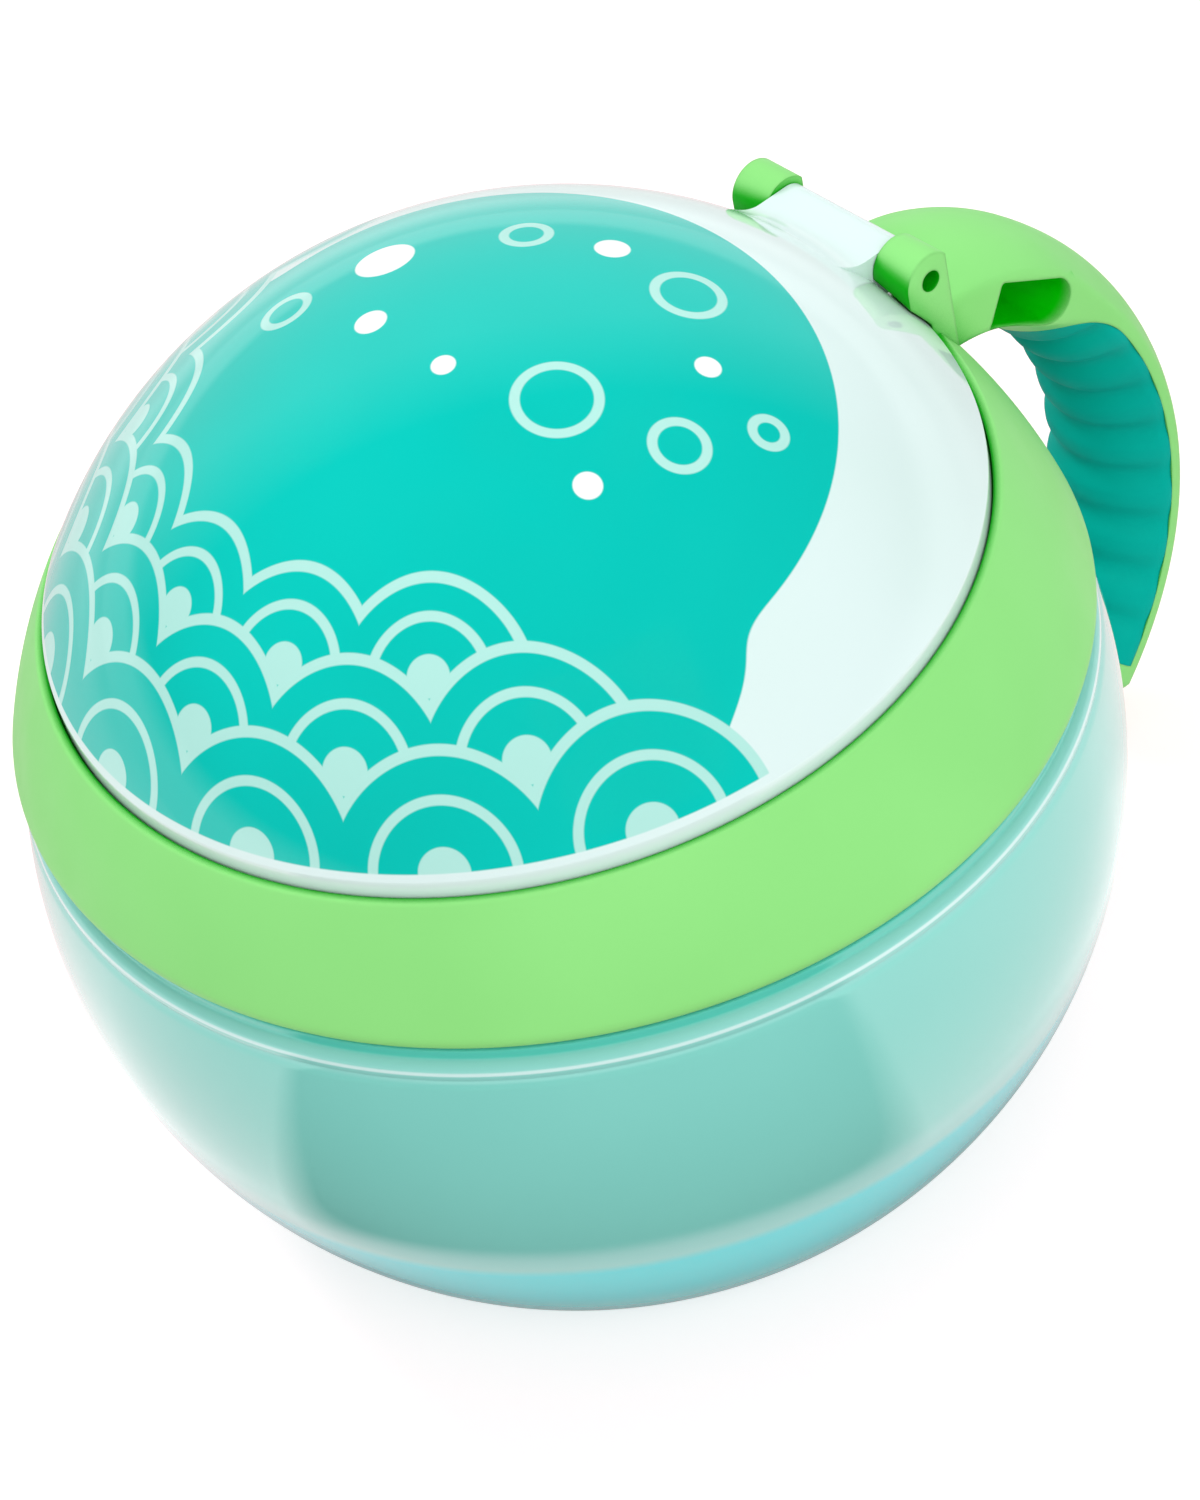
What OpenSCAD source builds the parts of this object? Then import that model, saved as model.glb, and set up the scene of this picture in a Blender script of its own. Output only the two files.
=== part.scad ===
// Ball-shaped snack container for a toddler: a bowl, a screw collar with a handle,
// a domed flip lid and a ring of soft flaps in the mouth.
// Origin: centre of the bowl's resting face. +Z is up, the handle and the hinge are at +Y.

/* [Bowl] */
// How far the bowl's surface lies inside the collar's ball surface
bowl_step = 1.15; // [0.4:0.05:1.6]
// Height of the ball's centre above the table
ball_h = 38.3; // [36:0.1:41]
// Thickness of the bowl's wall
bowl_wall = 2.0; // [1.5:0.1:2.6]
// Thickness of the bowl's floor
floor_t = 3.2; // [2:0.1:4]
// Rounding of the edge of the base
foot_round = 3.0; // [1.5:0.5:5]
// Height of the recessed band under the collar
band_h = 3.3; // [2.5:0.1:4]
// Depth of the recessed band
band_depth = 0.6; // [0.3:0.1:1]
// Radius of the fine bead on the band
bead_r = 0.5; // [0.3:0.1:0.6]

/* [Neck] */
// Width of the shoulder from the bowl's surface in to the neck
shoulder_w = 5.4; // [5.1:0.1:6.4]
// Thickness of the neck's wall
neck_wall = 1.9; // [1.5:0.1:2.2]
// Height of the neck above the bowl's shoulder
neck_height = 4.8; // [4.6:0.1:5]
// Number of thread lugs
lug_count = 3; // [2:1:3]
// Arc of each thread lug, in degrees
lug_arc = 30; // [20:1:34]
// Height of a thread lug
lug_h = 1.0; // [0.7:0.1:1.1]
// Distance of the bowl's lugs under the neck's rim
lug_drop = 1.4; // [1.2:0.1:1.8]
// How far a thread lug stands out
lug_depth = 1.1; // [0.9:0.1:1.2]
// Rise of the collar over its unscrewing turn
lift = 3.0; // [2:0.1:3.4]
// Turn that frees the collar, in degrees
unscrew_turn = 60; // [50:1:65]

/* [Collar] */
// Radius of the collar's ball surface
ball_r = 52.05; // [50:0.05:54]
// Rounding of the collar's lower edge
collar_round = 1.5; // [0.8:0.1:1.8]
// Gap between the collar's lower edge and the bowl's shoulder
collar_gap = 0.5; // [0.3:0.1:0.8]
// Forward tilt of the lid and of the collar's top, in degrees
lid_tilt = 2.5; // [1:0.5:3.5]
// Distance of the collar's top face from the ball's centre
rim_h = 28.0; // [27:0.1:29]
// Depth of the recess that the lid closes into
recess_depth = 1.6; // [1.2:0.1:2]
// Width of the rim round the recess
rim_w = 0.53; // [0.4:0.01:0.9]
// Width of the ledge under the lid's edge
ledge_w = 2.55; // [2:0.05:3]
// Depth of the flap ring's seat under the ledge
seat_depth = 3.9; // [3.5:0.1:4.2]
// Width of the web that carries the flap ring
web_w = 6.3; // [5.5:0.1:6.8]
// Thickness of that web at the front, where it is thinnest
web_t = 1.6; // [1.2:0.1:2]

/* [Lid] */
// Gap between the lid's edge and the collar's rim
lid_gap = 0.45; // [0.3:0.05:0.6]
// Height of the dome's edge above the collar's rim
lid_step = 1.5; // [1.2:0.1:2]
// Height of the dome above its edge
dome_rise = 24.6; // [22:0.1:27]
// Thickness of the lid
lid_wall = 2.0; // [1.6:0.1:2.4]
// Distance of the lid's sealing skirt from the wall of the mouth
skirt_inset = 1.1; // [0.7:0.1:1.5]
// Thickness of the sealing skirt
skirt_wall = 1.8; // [1.2:0.1:2]

/* [Hinge] */
// Height of the hinge pin above the dome's edge
pin_rise = 6.4; // [6.1:0.1:6.8]
// Radius of the hinge pin
pin_r = 1.0; // [0.8:0.05:1.1]
// Radius of the lid's hinge barrel, which ends flush with the lid's edge
barrel_r = 2.1; // [1.9:0.1:2.3]
// Length of the lid's hinge barrel
barrel_l = 13.8; // [12:0.2:15]
// Length of the flat plate from the pin towards the middle of the lid
plate_l = 9.0; // [8:0.5:11]
// Radius of the ears round the pin
ear_r = 2.8; // [2.6:0.1:3]
// Thickness of each ear
ear_t = 4.6; // [3.5:0.1:5.5]
// Distance of the ears' flat back behind the pin
ear_back = 2.1; // [1.8:0.1:2.4]
// How deep the pin's ends lie in the ears
pin_recess = 1.6; // [1:0.1:2]

/* [Handle] */
// Widest gap between the ball and the inner side of the handle
finger_gap = 12.35; // [11:0.05:14]
// Height of the handle's root above the collar's rim
root_rise = 2.47; // [2:0.01:3]
// Outer radius of the handle's arc
handle_r = 39.8; // [39:0.1:41.4]
// Thickness of the handle
handle_t = 10.0; // [9:0.1:10.4]
// Width of the handle
handle_w = 16.0; // [14:0.2:18]
// Crown of the handle's outer side
crown = 3.0; // [2:0.1:3.4]
// Crown of the handle's inner side
belly = 5.0; // [4:0.1:5.4]
// Angle where the handle's arc ends at the bottom, in degrees
tip_angle = -44; // [-46:1:-30]
// Outer radius of the bend at the handle's root
root_r = 24.1; // [22:0.1:25]
// Depth of the strap slot under the crown of the handle
slot_depth = 5.1; // [4.8:0.1:5.4]
// Thickness of the lime spine behind the grip
spine_t = 4.2; // [3.6:0.1:5]
// Length of the strap slot
slot_l = 10.2; // [8:0.1:11]
// Height of the strap slot
slot_h = 4.8; // [4:0.1:5.2]
// Number of finger ribs on the grip
rib_count = 8; // [6:1:10]
// Depth of the grooves between the ribs
rib_depth = 0.6; // [0.3:0.1:0.8]

/* [Flaps] */
// Width of the web that shows at the corners of the flap ring's hole
web_step = 0.44; // [0.3:0.01:1]
// Thickness of a flap
flap_t = 1.2; // [0.8:0.1:1.4]
// Half of the slit between two flaps
slit = 0.3; // [0.2:0.05:0.5]
// Thickness of the flap ring's flat part
ring_t = 1.4; // [1.2:0.1:1.6]
// Width of the flap ring's raised sealing bead
bead_w = 1.9; // [1.4:0.1:2.2]
// Depth of the sealing bead's top under the ledge
bead_drop = 0.4; // [0.3:0.1:0.6]

/* [Seal] */
// Thickness of the gasket between the neck and the collar
gasket_t = 1.2; // [1:0.1:1.6]

/* [Hidden] */
$fn = 128;

// clearances
loose = 0.4;         // free space between parts that move past each other
close_gap = 0.1;     // space over and under the gasket and under the flap ring
side_gap = 0.2;      // space beside the gasket and round the flap ring
seal_gap = 0.3;      // space between the lid's skirt and the flap ring's bead
edge_gap = 0.3;      // space between the lid's edge and the ledge
lug_gap = 0.3;       // space between the collar's lugs and the bowl's lugs
hinge_gap = 0.3;     // space between the barrel and each ear
pin_gap = 0.05;      // running clearance round the pin
recess_shift = 0.15; // how far the recess lies behind the lid's axis
embed = 0.5;         // how far a lug reaches into the wall that carries it
ear_foot = 1;        // how far the ears reach down into the collar's rim
overrun = 1;         // how far a cutting tool runs past what it cuts
far = 200;           // longer than anything here

// lid and collar, from the rim inwards and downwards
rim_r = sqrt(pow(ball_r, 2) - pow(rim_h, 2));
recess_r = rim_r - rim_w;
ledge_h = rim_h - recess_depth;
mouth_r = recess_r - ledge_w;
seat_h = ledge_h - seat_depth;
hand_r = mouth_r - web_w;
web_z = ball_h + seat_h * cos(lid_tilt) - mouth_r * sin(lid_tilt) - web_t;
lid_r = recess_r - lid_gap;
lid_h = rim_h + lid_step;
lid_edge_h = ledge_h + edge_gap;
dome_r = (pow(lid_r, 2) + pow(dome_rise, 2)) / (2 * dome_rise);
dome_h = lid_h + dome_rise - dome_r;
skirt_r = mouth_r - skirt_inset;

// bowl, from its neck downwards
bowl_r = ball_r - bowl_step;
neck_r = bowl_r - shoulder_w;
neck_top = web_z - gasket_t - 2 * close_gap;
shoulder_z = neck_top - neck_height;
band_z = shoulder_z - band_h;
band_r = sqrt(pow(bowl_r, 2) - pow(band_z - ball_h, 2)) - band_depth;
cove_round = foot_round + bowl_wall;

// thread
collar_edge = shoulder_z + collar_gap;
skirt_bore = neck_r + lug_depth + loose;
lug_slope = atan(lift / unscrew_turn * 360 / (2 * PI * neck_r));
bowl_lug_z = neck_top - lug_drop;
collar_lug_z = bowl_lug_z - lug_h - lug_gap;

// hinge
pin_y = lid_r - barrel_r;
pin_z = ball_h + lid_h + pin_rise;
ear_in = barrel_l / 2 + hinge_gap;
ear_out = ear_in + ear_t;

// handle: a large arc, and a smaller one that bends it on to the collar
root_angle = 48;
root_turn = 52;
root_top = ball_h + rim_h + root_rise;
arc_y = ball_r + finger_gap + handle_t - handle_r;
arc_z = root_top - root_r - (handle_r - root_r) * sin(root_angle);
crown_r = (pow(handle_w / 2, 2) + pow(crown, 2)) / (2 * crown);
belly_r = (pow(handle_w / 2, 2) + pow(belly, 2)) / (2 * belly);
tip_turn = 12;
tip_r = 6;
grip_end_r = 10;
grip_end_angle = 27.5;
grip_tip_angle = tip_angle + 3;
slot_start = 72;
slot_angle = -25;
rib_r = 3;
rib_first = tip_angle + 10;
rib_last = 33;

// flaps
flap_count = 6;
bead_h = ledge_h - bead_drop;
ring_h = seat_h + close_gap;
ring_r = mouth_r - side_gap;
flap_h = ring_h + ring_t / 2;
ring_apothem = (hand_r - web_step) * cos(180 / flap_count);
flap_root = ring_apothem - flap_t / 2 - slit;
roll_inset = 1;

// ---------------------------------------------------------------- helpers

// the frame of the lid: centre of the ball, leaning forwards
module tilted() {
    translate([0, 0, ball_h]) rotate([lid_tilt, 0, 0]) children();
}

// turns a drawing of the side view, with x to the back and y up, into that plane
module side_plane() {
    rotate([90, 0, 90]) children();
}

// half outline of a ball of radius r that stands on a flat face at height z0,
// with its lower edge rounded by f and the part above z1 cut off
module standing_ball(r, z0, f, z1) {
    drop = ball_h - z0 - f;
    edge = sqrt(pow(r - f, 2) - pow(drop, 2));
    touch_z = ball_h - drop * r / (r - f);
    intersection() {
        translate([0, ball_h]) circle(r);
        translate([0, touch_z]) square([far, z1 - touch_z]);
    }
    translate([edge, z0 + f]) circle(f);
    translate([0, z0]) square([edge, f]);
}

// the same for a ball surface that starts above its centre
module hanging_ball(r, z0, f, z1) {
    rise = z0 + f - ball_h;
    edge = sqrt(pow(r - f, 2) - pow(rise, 2));
    touch_z = ball_h + rise * r / (r - f);
    intersection() {
        translate([0, ball_h]) circle(r);
        translate([0, touch_z]) square([far, z1 - touch_z]);
    }
    translate([edge, z0 + f]) circle(f);
    translate([0, z0]) square([edge, touch_z - z0]);
}

// one ring of short, sloping thread lugs between two radii
module lugs(r_in, r_out, z) {
    for (i = [0 : lug_count - 1])
        rotate([0, 0, i * 360 / lug_count])
            translate([0, 0, z])
                rotate([lug_slope, 0, 0])
                    rotate_extrude(angle = lug_arc, start = -lug_arc / 2)
                        translate([r_in, -lug_h / 2]) square([r_out - r_in, lug_h]);
}

// a rod along X through the hinge axis
module hinge_rod(r, length) {
    translate([-length / 2, pin_y, pin_z]) rotate([0, 90, 0]) cylinder(r = r, h = length);
}

// ---------------------------------------------------------------- bowl

module bowl() {
    color("#8fd6cb") {
        difference() {
            rotate_extrude() bowl_outline();
            rotate_extrude() bowl_inside();
        }
        lugs(neck_r - embed, neck_r + lug_depth, bowl_lug_z);
    }
}

module bowl_outline() {
    intersection() {
        union() {
            standing_ball(bowl_r, 0, foot_round, band_z);
            translate([0, band_z]) square([band_r, shoulder_z - band_z]);
            translate([band_r, band_z + bead_r]) circle(bead_r);
            translate([0, ball_h]) square([neck_r, neck_top - ball_h]);
        }
        square([far, far]);
    }
}

module bowl_inside() {
    intersection() {
        union() {
            standing_ball(bowl_r - bowl_wall, floor_t, cove_round, shoulder_z - bowl_wall);
            translate([0, ball_h]) square([neck_r - neck_wall, far]);
        }
        square([far, far]);
    }
}

// ---------------------------------------------------------------- gasket

module gasket() {
    color("#f2f4f0")
        translate([0, 0, neck_top + close_gap])
            difference() {
                cylinder(r = neck_r - side_gap, h = gasket_t);
                translate([0, 0, -overrun])
                    cylinder(r = neck_r - neck_wall + side_gap, h = gasket_t + 2 * overrun);
            }
}

// ---------------------------------------------------------------- collar

module collar() {
    color("#8fe580") {
        difference() {
            union() {
                collar_ring();
                handle_spine();
            }
            collar_hollow();
        }
        lugs(skirt_bore - lug_depth, skirt_bore + embed, collar_lug_z);
        for (side = [-1, 1]) ear(side);
    }
}

module collar_ring() {
    difference() {
        rotate_extrude()
            intersection() {
                hanging_ball(ball_r, collar_edge, collar_round, ball_h + ball_r);
                square([far, far]);
            }
        tilted() translate([0, 0, rim_h]) cylinder(r = far, h = far);
    }
}

// everything that the collar is hollowed by, from the thread up to the lid's recess
module collar_hollow() {
    cylinder(r = skirt_bore, h = web_z);
    tilted() {
        cylinder(r = hand_r, h = far);
        translate([0, 0, seat_h]) cylinder(r = mouth_r, h = far);
        translate([0, recess_shift, ledge_h]) cylinder(r = recess_r, h = far);
    }
}

// one hinge ear, clear of the closed lid
module ear(side) {
    difference() {
        translate([side * (ear_in + ear_t / 2) - ear_t / 2, 0, 0])
            side_plane() linear_extrude(ear_t) ear_side();
        hinge_rod(pin_r + pin_gap, far);
        tilted() translate([0, recess_shift, 0]) lid_envelope(lid_gap);
    }
}

// side view of an ear: round over the pin, flat at the back
module ear_side() {
    foot_z = ball_h + rim_h - ear_foot;
    intersection() {
        translate([pin_y, pin_z]) circle(ear_r);
        square([pin_y + ear_back, far]);
    }
    translate([pin_y - ear_r, foot_z]) square([ear_r + ear_back, pin_z - foot_z]);
}

// space that the closed lid takes, grown by a clearance
module lid_envelope(gap) {
    rotate_extrude()
        intersection() {
            translate([0, dome_h]) circle(dome_r + gap);
            square([lid_r + gap, far]);
        }
}

// ---------------------------------------------------------------- handle

// cross-section of the handle, outer side at radius r from the bend's centre
module handle_section(r) {
    intersection() {
        translate([r - crown_r, 0]) circle(crown_r);
        translate([r - handle_t + belly_r, 0]) circle(belly_r);
        translate([0, -handle_w / 2]) square([far, handle_w]);
    }
}

// the whole handle, drawn from the centre of its arc with the bend's start on the X axis
module handle_body() {
    handle_frame(root_angle) {
        difference() {
            rotate_extrude(angle = root_angle - tip_angle + tip_turn,
                           start = tip_angle - tip_turn - root_angle)
                handle_section(handle_r);
            rotate([0, 0, tip_angle - root_angle])
                linear_extrude(far, center = true) tip_cut();
        }
        translate([handle_r - root_r, 0, 0])
            rotate_extrude(angle = root_turn, start = 0) handle_section(root_r);
    }
}

// side view from the centre of the handle's arc, turned by an angle
module handle_frame(angle) {
    translate([0, arc_y, arc_z]) side_plane() rotate([0, 0, angle]) children();
}

// what is cut away below the tip to leave its end round
module tip_cut() {
    mid_r = handle_r - handle_t / 2;
    difference() {
        translate([0, -far]) square([far, far]);
        translate([mid_r, sqrt(pow(tip_r, 2) - pow(handle_t / 2, 2))]) circle(tip_r);
    }
}

// side view of the zone that the soft grip fills, from the centre of the handle's arc
module grip_zone() {
    zone_r = handle_r - spine_t;
    reach = zone_r - grip_end_r;
    difference() {
        circle(zone_r);
        rotate([0, 0, grip_end_angle]) square([far, far]);
        rotate([0, 0, grip_tip_angle]) translate([0, -far]) square([far, far]);
        translate([-far, -far]) square([far, 2 * far]);
    }
    translate([reach * cos(grip_end_angle), reach * sin(grip_end_angle)]) circle(grip_end_r);
}

module handle_spine() {
    difference() {
        handle_body();
        handle_frame(0) linear_extrude(far, center = true) grip_zone();
        strap_slot();
    }
}

// slot for a strap, straight at the hinge end and round at the other
module strap_slot() {
    handle_frame(0)
        translate([(handle_r - root_r) * cos(root_angle), (handle_r - root_r) * sin(root_angle)])
            rotate([0, 0, slot_start])
                translate([root_r - slot_depth, 0])
                    rotate([0, 0, slot_angle - slot_start])
                        linear_extrude(far, center = true) {
                            translate([0, -slot_h / 2]) square([slot_l - slot_h / 2, slot_h]);
                            translate([slot_l - slot_h / 2, 0]) circle(slot_h / 2);
                        }
}

module handle_grip() {
    groove_at = handle_r - handle_t - rib_r + rib_depth;
    step = (rib_last - rib_first) / (rib_count - 1);
    color("#04a896")
        difference() {
            intersection() {
                handle_body();
                handle_frame(0) linear_extrude(far, center = true) grip_zone();
            }
            for (i = [0 : rib_count - 1])
                handle_frame(rib_first + i * step)
                    translate([groove_at, 0, -far / 2]) cylinder(r = rib_r, h = far);
        }
}

// ---------------------------------------------------------------- hinge pin

module hinge_pin() {
    color("#c9ccd0") hinge_rod(pin_r, 2 * (ear_out - pin_recess));
}

// ---------------------------------------------------------------- lid

module lid() {
    color("#dff4f0")
        difference() {
            union() {
                tilted() {
                    rotate_extrude() lid_shell();
                    rotate_extrude() lid_skirt();
                }
                difference() {
                    hinge_plate();
                    tilted() rotate_extrude() lid_inside();
                }
            }
            hinge_rod(pin_r + pin_gap, far);
            for (side = [-1, 1]) ear_pocket(side);
        }
}

module lid_solid() {
    intersection() {
        translate([0, dome_h]) circle(dome_r);
        translate([0, lid_edge_h]) square([lid_r, far]);
    }
}

module lid_inside() {
    intersection() {
        translate([0, dome_h]) circle(dome_r - lid_wall);
        square([lid_r - lid_wall, far]);
    }
}

module lid_shell() {
    difference() {
        lid_solid();
        lid_inside();
    }
}

module lid_skirt() {
    intersection() {
        translate([skirt_r - skirt_wall, bead_h + seal_gap]) square([skirt_wall, far]);
        translate([0, dome_h]) circle(dome_r);
        square([far, far]);
    }
}

// flat plate and barrel between the ears
module hinge_plate() {
    hinge_rod(barrel_r, barrel_l);
    translate([-barrel_l / 2, pin_y - plate_l, pin_z - barrel_r])
        cube([barrel_l, plate_l, 2 * barrel_r]);
}

// room for one ear, from the barrel's end outwards
module ear_pocket(side) {
    pocket_w = hinge_gap + ear_t + loose;
    translate([side * (barrel_l + pocket_w) / 2 - pocket_w / 2, pin_y, pin_z])
        rotate([0, 90, 0]) cylinder(r = ear_r + loose, h = pocket_w);
}

// ---------------------------------------------------------------- flaps

module flap_ring() {
    color("#e9f4ee")
        tilted()
            translate([0, 0, ring_h])
                difference() {
                    cylinder(r = ring_r, h = bead_h - ring_h);
                    translate([0, 0, ring_t]) cylinder(r = ring_r - bead_w, h = far);
                    flap_opening();
                }
}

// many-sided hole of the flap ring, one side for each flap
module flap_opening() {
    corner_r = ring_apothem / cos(180 / flap_count);
    corners = [for (i = [0 : flap_count - 1]) corner(corner_r, (i + 0.5) * 360 / flap_count)];
    translate([0, 0, -overrun]) linear_extrude(far) polygon(corners);
}

function corner(r, angle) = [r * cos(angle), r * sin(angle)];

// one flap: a triangle of soft sheet with a thin roll along its hinge line
module flap(index) {
    half = flap_root * tan(180 / flap_count) - slit / cos(180 / flap_count);
    tip = slit / sin(180 / flap_count);
    roll_l = 2 * (half - roll_inset);
    color("#d9efe6")
        tilted()
            rotate([0, 0, (index - 1) * 360 / flap_count])
                translate([0, 0, flap_h]) {
                    translate([0, 0, -flap_t / 2])
                        linear_extrude(flap_t)
                            polygon([[tip, 0], [flap_root, half], [flap_root, -half]]);
                    translate([flap_root, roll_l / 2, 0])
                        rotate([90, 0, 0]) cylinder(r = flap_t / 2, h = roll_l);
                }
}

bowl();
gasket();
collar();
handle_grip();
hinge_pin();
lid();
flap_ring();
flap(1);  // flap_1
flap(2);  // flap_2
flap(3);  // flap_3
flap(4);  // flap_4
flap(5);  // flap_5
flap(6);  // flap_6
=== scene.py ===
"""Looks of the ball-shaped snack container over its CAD model. Lengths are in mm until a mesh is made."""

import math

import bmesh
import bpy
import numpy as np
from mathutils import Matrix, Vector


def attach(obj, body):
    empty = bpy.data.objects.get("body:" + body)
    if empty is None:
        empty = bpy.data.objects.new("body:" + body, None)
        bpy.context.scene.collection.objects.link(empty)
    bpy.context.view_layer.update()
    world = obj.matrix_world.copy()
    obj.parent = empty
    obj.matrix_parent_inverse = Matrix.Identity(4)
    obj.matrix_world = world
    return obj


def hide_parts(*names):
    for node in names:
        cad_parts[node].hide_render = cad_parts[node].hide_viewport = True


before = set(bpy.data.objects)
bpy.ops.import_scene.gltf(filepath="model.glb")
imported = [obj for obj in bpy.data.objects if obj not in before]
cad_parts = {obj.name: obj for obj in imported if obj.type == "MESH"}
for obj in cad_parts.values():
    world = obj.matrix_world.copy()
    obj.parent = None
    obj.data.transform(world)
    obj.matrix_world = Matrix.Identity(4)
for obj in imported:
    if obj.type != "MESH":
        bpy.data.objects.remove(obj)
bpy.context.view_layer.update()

MM = 0.001

# driving sizes, the same as the part's own but for the slot's lean
BALL_R, BALL_H = 52.05, 38.3
TILT = math.radians(2.5)
RIM_H, RIM_W, LID_GAP, LEDGE_W = 28.0, 0.53, 0.45, 2.55
RECESS_DEPTH, SEAT_DEPTH, WEB_W, WEB_T = 1.6, 3.9, 6.3, 1.6
COLLAR_ROUND, COLLAR_GAP = 1.5, 0.5
GASKET_T, NECK_H, BAND_H, BAND_DEPTH = 1.2, 4.8, 3.3, 0.6
BOWL_STEP, BOWL_WALL, FLOOR_T, FOOT_ROUND, SHOULDER_W, NECK_WALL = 1.15, 2.0, 3.2, 3.0, 5.4, 1.9
LUG_COUNT, LUG_ARC, LUG_H, LUG_DEPTH, LUG_DROP, LUG_GAP = 3, 30, 1.0, 1.1, 1.4, 0.3
LIFT, UNSCREW_TURN = 3.0, 60
LID_STEP, DOME_RISE, LID_WALL = 1.5, 24.6, 2.0
SKIRT_INSET, SKIRT_WALL = 1.1, 1.8
BARREL_R, BARREL_L, PLATE_L, PIN_R, PIN_HALF, PIN_RISE, BORE_R = 2.1, 13.8, 9.0, 1.0, 10.2, 6.4, 1.05
EAR_R, EAR_T, EAR_IN, EAR_BACK = 2.8, 4.6, 7.2, 2.1
HANDLE_R, HANDLE_T, HANDLE_W, CROWN, BELLY = 39.8, 10.0, 16.0, 3.0, 5.0
ROOT_R, ROOT_ANGLE, ROOT_RISE, FINGER_GAP = 24.1, 48, 2.47, 12.35
TIP_ANGLE, TIP_R, SPINE_T = -44, 6.0, 4.2
SLOT_L, SLOT_H, SLOT_DEPTH, SLOT_START, SLOT_LEAN = 10.2, 4.8, 5.1, math.radians(72), math.radians(-29)
FLAP_T, SLIT, RING_T, BEAD_W, BEAD_DROP, WEB_STEP = 1.2, 0.3, 1.4, 1.9, 0.4, 0.44
RIB_COUNT, RIB_FIRST, RIB_LAST, GRIP_END_R, GRIP_END = 8, -34, 33, 10.0, 27.5
CLOSE_GAP, SIDE_GAP, SEAL_GAP, EDGE_GAP, LOOSE, EMBED = 0.1, 0.2, 0.3, 0.3, 0.4, 0.5

# sizes of the looks alone
BEAD_R, BEAD_RISE = 1.3, 1.0
RECESS_CLOSER, RIB_SINK, EDGE_ROUND = 0.28, 0.9, 0.4
ROOT_CROWN, ROOT_BELLY = 2.2, 2.6
EAR_CLEAR, PLATE_GAP = 0.2, 0.12

# studio: strength of the even light, and the way along the table that points to its back
WORLD_LIGHT = 0.72
BACK_X, BACK_Y = -0.844, 0.536
WHITE, BLACK = (1.0, 1.0, 1.0, 1.0), (0.0, 0.0, 0.0, 1.0)

# sizes worked out from the driving sizes
RECESS_R = math.sqrt(BALL_R**2 - RIM_H**2) - RIM_W
LID_R = RECESS_R - LID_GAP
MOUTH_R = RECESS_R - LEDGE_W
HAND_R = MOUTH_R - WEB_W
LEDGE_H = RIM_H - RECESS_DEPTH
SEAT_H = LEDGE_H - SEAT_DEPTH
WEB_Z = BALL_H + SEAT_H * math.cos(TILT) - MOUTH_R * math.sin(TILT) - WEB_T
NECK_TOP = WEB_Z - GASKET_T - 2 * CLOSE_GAP
SHOULDER_Z = NECK_TOP - NECK_H
BAND_Z = SHOULDER_Z - BAND_H
BOWL_R = BALL_R - BOWL_STEP
NECK_R = BOWL_R - SHOULDER_W
SKIRT_BORE = NECK_R + LUG_DEPTH + LOOSE
BOWL_LUG_Z = NECK_TOP - LUG_DROP
COLLAR_LUG_Z = BOWL_LUG_Z - LUG_H - LUG_GAP
LID_H = RIM_H + LID_STEP
DOME_R = (LID_R**2 + DOME_RISE**2) / (2 * DOME_RISE)
DOME_H = LID_H + DOME_RISE - DOME_R
SKIRT_R = MOUTH_R - SKIRT_INSET
PIN_Y, PIN_Z = LID_R - BARREL_R, BALL_H + LID_H + PIN_RISE
ROOT_TOP = BALL_H + RIM_H + ROOT_RISE
ROOT_Z = ROOT_TOP - ROOT_R
ARC_Y = BALL_R + FINGER_GAP + HANDLE_T - HANDLE_R
ARC_Z = ROOT_Z - (HANDLE_R - ROOT_R) * math.sin(math.radians(ROOT_ANGLE))
ROOT_Y = ARC_Y + (HANDLE_R - ROOT_R) * math.cos(math.radians(ROOT_ANGLE))
SLOT_Y = ROOT_Y + (ROOT_R - SLOT_DEPTH) * math.cos(SLOT_START)
SLOT_Z = ROOT_Z + (ROOT_R - SLOT_DEPTH) * math.sin(SLOT_START)
RING_APOTHEM = (HAND_R - WEB_STEP) * math.cos(math.radians(30))
FLAP_ROOT = RING_APOTHEM - FLAP_T / 2 - SLIT


# ------------------------------------------------------------------ outlines


def arc(cx, cy, r, start, end, n):
    """Points on a circle from one angle to another, in degrees."""
    angles = np.radians(np.linspace(start, end, n))
    return [(cx + r * math.cos(t), cy + r * math.sin(t), 0.0) for t in angles]


def rounded(points, steps=4):
    """Closed outline of (x, y, radius): each corner with a radius is cut back and rounded."""
    out = []
    count = len(points)
    for i, (x, y, r) in enumerate(points):
        here = np.array([x, y])
        if r <= 0:
            out.append(here)
            continue
        before = np.array(points[i - 1][:2]) - here
        after = np.array(points[(i + 1) % count][:2]) - here
        la, lb = np.linalg.norm(before), np.linalg.norm(after)
        a = here + before / la * min(r, la * 0.48)
        b = here + after / lb * min(r, lb * 0.48)
        for t in np.linspace(0, 1, steps + 1):
            out.append((1 - t) ** 2 * a + 2 * t * (1 - t) * here + t**2 * b)
    return np.array(out)


# ------------------------------------------------------------------ meshes


def piece(name, verts, faces, sharp=32, frame_of=None):
    """A smooth object from points in mm, with edges over the angle kept sharp."""
    mesh = bpy.data.meshes.new(name)
    mesh.from_pydata((np.asarray(verts) * MM).tolist(), [], faces)
    mesh.validate()
    if frame_of is not None:
        mesh.transform(frame_of)
    tidy_mesh(mesh, sharp)
    return placed(name, mesh)


def placed(name, mesh):
    """A new object of the scene that shows a mesh."""
    obj = bpy.data.objects.new(name, mesh)
    bpy.context.scene.collection.objects.link(obj)
    return obj


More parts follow.
